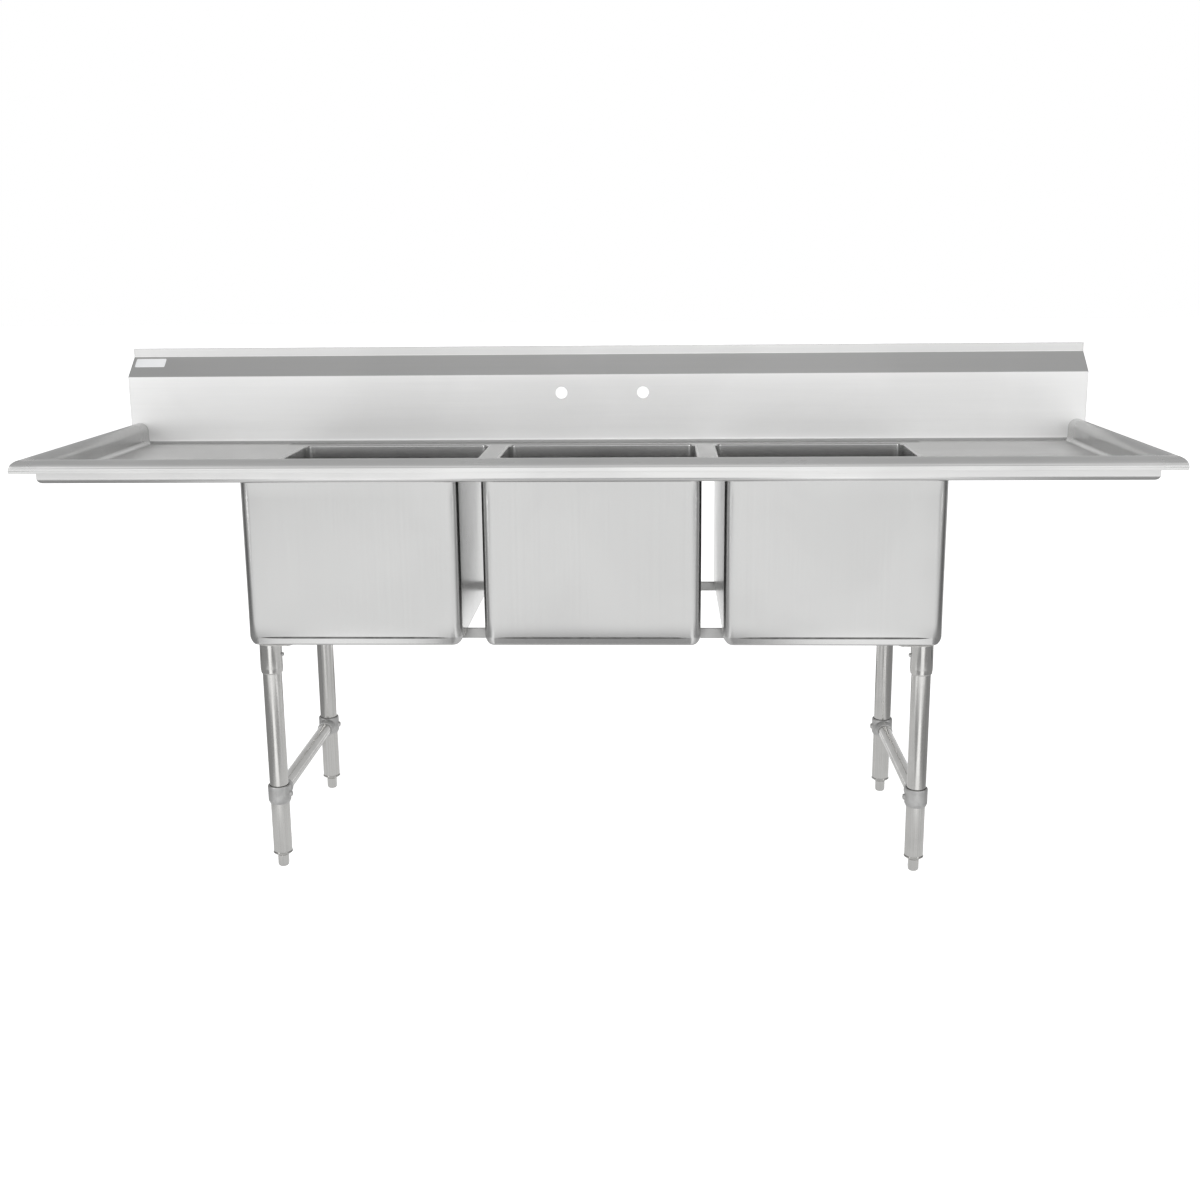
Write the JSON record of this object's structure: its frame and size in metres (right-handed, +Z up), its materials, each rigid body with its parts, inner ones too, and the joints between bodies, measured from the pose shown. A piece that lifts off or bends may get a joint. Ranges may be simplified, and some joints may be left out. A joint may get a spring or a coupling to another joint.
{
  "type": "three compartment sink",
  "caption": "Free-standing stainless steel commercial sink with deep welded bowls in a row, a drainboard at each end, a rolled rim, a boxed backsplash and tubular legs with side rails.",
  "frame": {"origin": "on the floor, under the middle of the sink's outline", "axes": "+X along the sink to the user's right, +Y from the user towards the wall, +Z up"},
  "size_m": [2.3876, 0.7874, 1.1176],
  "materials": {
    "satin_sheet": "satin brushed stainless sheet, grain along the sink",
    "bowl_sheet": "satin stainless sheet, grain upright",
    "leg_tube": "fine drawn stainless tube",
    "cast_fitting": "dull cast metal",
    "bright_drain": "polished stainless strainer",
    "gasket": "black rubber washer"
  },
  "bodies": {
    "frame": {"backsplash": "satin_sheet", "backsplash_left_end": "satin_sheet", "backsplash_right_end": "satin_sheet", "bowl_centre_back_panel": "bowl_sheet", "bowl_centre_front_panel": "bowl_sheet", "bowl_centre_wrap": "bowl_sheet", "bowl_deck": "satin_sheet", "bowl_left_back_panel": "bowl_sheet", "bowl_left_front_panel": "bowl_sheet", "bowl_left_wrap": "bowl_sheet", "bowl_right_back_panel": "bowl_sheet", "bowl_right_front_panel": "bowl_sheet", "bowl_right_wrap": "bowl_sheet", "drain_gasket_centre": "gasket", "drain_gasket_left": "gasket", "drain_gasket_right": "gasket", "drain_locknut_centre": "cast_fitting", "drain_locknut_left": "cast_fitting", "drain_locknut_right": "cast_fitting", "foot_insert_back_left": "leg_tube", "foot_insert_back_right": "leg_tube", "foot_insert_front_left": "leg_tube", "foot_insert_front_right": "leg_tube", "left_drainboard": "satin_sheet", "leg_socket_back_left": "leg_tube", "leg_socket_back_right": "leg_tube", "leg_socket_front_left": "leg_tube", "leg_socket_front_right": "leg_tube", "leg_tube_back_left": "leg_tube", "leg_tube_back_right": "leg_tube", "leg_tube_front_left": "leg_tube", "leg_tube_front_right": "leg_tube", "rail_clamp_back_left": "cast_fitting", "rail_clamp_back_right": "cast_fitting", "rail_clamp_front_left": "cast_fitting", "rail_clamp_front_right": "cast_fitting", "right_drainboard": "satin_sheet", "rolled_rim": "satin_sheet", "side_rail_left": "leg_tube", "side_rail_right": "leg_tube", "socket_screw_back_left": "cast_fitting", "socket_screw_back_right": "cast_fitting", "socket_screw_front_left": "cast_fitting", "socket_screw_front_right": "cast_fitting", "strainer_body_centre": "bright_drain", "strainer_body_left": "bright_drain", "strainer_body_right": "bright_drain", "tie_bar_back_left": "leg_tube", "tie_bar_back_right": "leg_tube", "tie_bar_front_left": "leg_tube", "tie_bar_front_right": "leg_tube"},
    "foot_back_left": {"foot_back_left": "leg_tube"},
    "foot_back_right": {"foot_back_right": "leg_tube"},
    "foot_front_left": {"foot_front_left": "leg_tube"},
    "foot_front_right": {"foot_front_right": "leg_tube"},
    "basket_centre": {"strainer_basket_centre": "bright_drain"},
    "basket_left": {"strainer_basket_left": "bright_drain"},
    "basket_right": {"strainer_basket_right": "bright_drain"}
  },
  "joints": [
    {"name": "level_back_left", "type": "slide", "parent": "frame", "child": "foot_back_left", "axis": [0, 0, 1], "range_m": [-0.025, 0]},
    {"name": "level_back_right", "type": "slide", "parent": "frame", "child": "foot_back_right", "axis": [0, 0, 1], "range_m": [-0.025, 0]},
    {"name": "level_front_left", "type": "slide", "parent": "frame", "child": "foot_front_left", "axis": [0, 0, 1], "range_m": [-0.025, 0]},
    {"name": "level_front_right", "type": "slide", "parent": "frame", "child": "foot_front_right", "axis": [0, 0, 1], "range_m": [-0.025, 0]},
    {"name": "lift_basket_centre", "type": "slide", "parent": "frame", "child": "basket_centre", "axis": [0, 0, 1], "range_m": [0, 0.08]},
    {"name": "lift_basket_left", "type": "slide", "parent": "frame", "child": "basket_left", "axis": [0, 0, 1], "range_m": [0, 0.08]},
    {"name": "lift_basket_right", "type": "slide", "parent": "frame", "child": "basket_right", "axis": [0, 0, 1], "range_m": [0, 0.08]}
  ]
}
